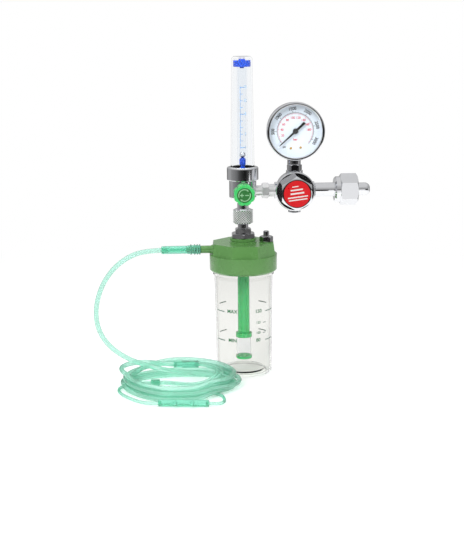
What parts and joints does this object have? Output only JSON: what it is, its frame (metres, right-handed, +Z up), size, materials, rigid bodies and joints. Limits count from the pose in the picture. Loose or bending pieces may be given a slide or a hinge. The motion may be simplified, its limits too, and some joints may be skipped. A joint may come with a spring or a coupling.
{
  "type": "oxygen flowmeter",
  "caption": "Oxygen flowmeter for a gas cylinder: chrome regulator with round gauge, clear flow tube with green knob, humidifier bottle with green lid, and a coiled teal nasal cannula.",
  "frame": {"origin": "centre of the open face of the inlet nut, on the inlet nipple's axis", "axes": "+X out of the nut into the cylinder valve, +Z up along the flow tube, -Y the front with the knob, gauge and label"},
  "size_m": [0.287, 0.164, 0.3284],
  "materials": {
    "chrome": "polished",
    "brass": "satin",
    "spring_steel": "satin",
    "ball_steel": "polished",
    "rubber_black": "matte",
    "knob_green": "gloss",
    "disc_green": "satin",
    "lid_green": "satin",
    "dip_green": "gloss",
    "seat_blue": "gloss",
    "bottle_clear": "gloss",
    "tube_clear": "gloss",
    "lens_clear": "gloss",
    "dial_white": "satin",
    "needle_black": "matte",
    "label_red": "satin",
    "hose_teal": "gloss",
    "fitting_teal": "gloss"
  },
  "bodies": {
    "root": {"inlet_stem": "chrome", "inlet_filter": "brass", "regulator_body": "chrome", "bonnet": "chrome", "label_disc": "label_red", "diaphragm": "rubber_black", "main_spring": "spring_steel", "poppet_spring": "spring_steel", "valve_plug": "chrome", "relief_plug": "chrome", "gauge_case": "chrome", "gauge_bezel": "chrome", "gauge_lens": "lens_clear", "gauge_dial": "dial_white", "dial_screws": "brass", "movement_frame": "brass", "bourdon_tube": "brass", "gauge_socket": "chrome", "movement_link": "brass", "link_nipple": "chrome", "flow_body": "chrome", "valve_gland": "brass", "tube_cap": "chrome", "tube_seal": "rubber_black", "outer_tube": "tube_clear", "metering_tube": "tube_clear", "float_seat": "seat_blue", "top_bush": "seat_blue", "union_seal": "rubber_black", "inlet_adaptor": "chrome", "lock_nut": "chrome", "lid": "lid_green", "relief_collar": "chrome", "relief_spring": "spring_steel", "dip_tube": "dip_green", "diffuser": "bottle_clear", "diffuser_ring": "dip_green", "tube_connector": "fitting_teal", "supply_tube": "hose_teal", "tube_coil": "hose_teal", "y_junction": "fitting_teal", "slider": "fitting_teal", "nasal_piece": "fitting_teal", "lip_tube_right": "hose_teal", "lip_tube_left": "hose_teal"},
    "inlet_nut": {"inlet_nut": "chrome"},
    "poppet": {"poppet": "brass", "spring_button": "brass"},
    "pointer": {"gauge_needle": "needle_black", "gauge_pinion": "brass"},
    "sector": {"sector_gear": "brass"},
    "knob": {"knob": "knob_green", "knob_disc": "disc_green", "valve_spindle": "spring_steel"},
    "float": {"float_ball": "ball_steel"},
    "union_nut": {"union_nut": "chrome"},
    "bottle_rim": {"lid_gasket": "rubber_black"},
    "bottle": {"bottle": "bottle_clear"},
    "relief_pin": {"relief_pin": "chrome"}
  },
  "joints": [
    {"name": "inlet_nut_spin", "type": "hinge", "parent": "root", "child": "inlet_nut", "pos_m": [0, 0, 0], "axis": [1, 0, 0], "continuous": true},
    {"name": "poppet_open", "type": "slide", "parent": "root", "child": "poppet", "axis": [0, 1, 0], "range_m": [0, 0.0006], "stiffness_N_per_m": 3000, "springref_m": -0.0005, "deforming": ["main_spring", "poppet_spring", "diaphragm"]},
    {"name": "pointer_sweep", "type": "hinge", "parent": "root", "child": "pointer", "pos_m": [-0.0648, 0, 0.0616], "axis": [0, 1, 0], "range_deg": [0, 266]},
    {"name": "sector_swing", "type": "hinge", "parent": "root", "child": "sector", "pos_m": [-0.0648, 0, 0.0466], "axis": [0, 1, 0], "range_deg": [-66.5, 0], "deforming": ["movement_link", "bourdon_tube"]},
    {"name": "knob_turn", "type": "hinge", "parent": "root", "child": "knob", "pos_m": [-0.118, 0, -0.0006], "axis": [0, -1, 0], "range_deg": [0, 540]},
    {"name": "float_rise", "type": "slide", "parent": "root", "child": "float", "axis": [0, 0, 1], "range_m": [0, 0.084]},
    {"name": "union_nut_spin", "type": "hinge", "parent": "root", "child": "union_nut", "pos_m": [-0.118, 0, -0.026], "axis": [0, 0, 1], "continuous": true},
    {"name": "bottle_drop", "type": "slide", "parent": "root", "child": "bottle_rim", "axis": [0, 0, -1], "range_m": [0, 0.004]},
    {"name": "bottle_turn", "type": "hinge", "parent": "bottle_rim", "child": "bottle", "pos_m": [-0.118, 0, -0.1], "axis": [0, 0, -1], "range_deg": [0, 450]},
    {"name": "relief_lift", "type": "slide", "parent": "root", "child": "relief_pin", "axis": [0, 0, 1], "range_m": [0, 0.0012], "stiffness_N_per_m": 400, "springref_m": -0.002, "deforming": ["relief_spring"]}
  ],
  "couplings": [
    {"joint": "pointer_sweep", "follows": "sector_swing", "ratio": -4},
    {"joint": "bottle_drop", "follows": "bottle_turn", "m_per_rad": 0.0005093}
  ]
}
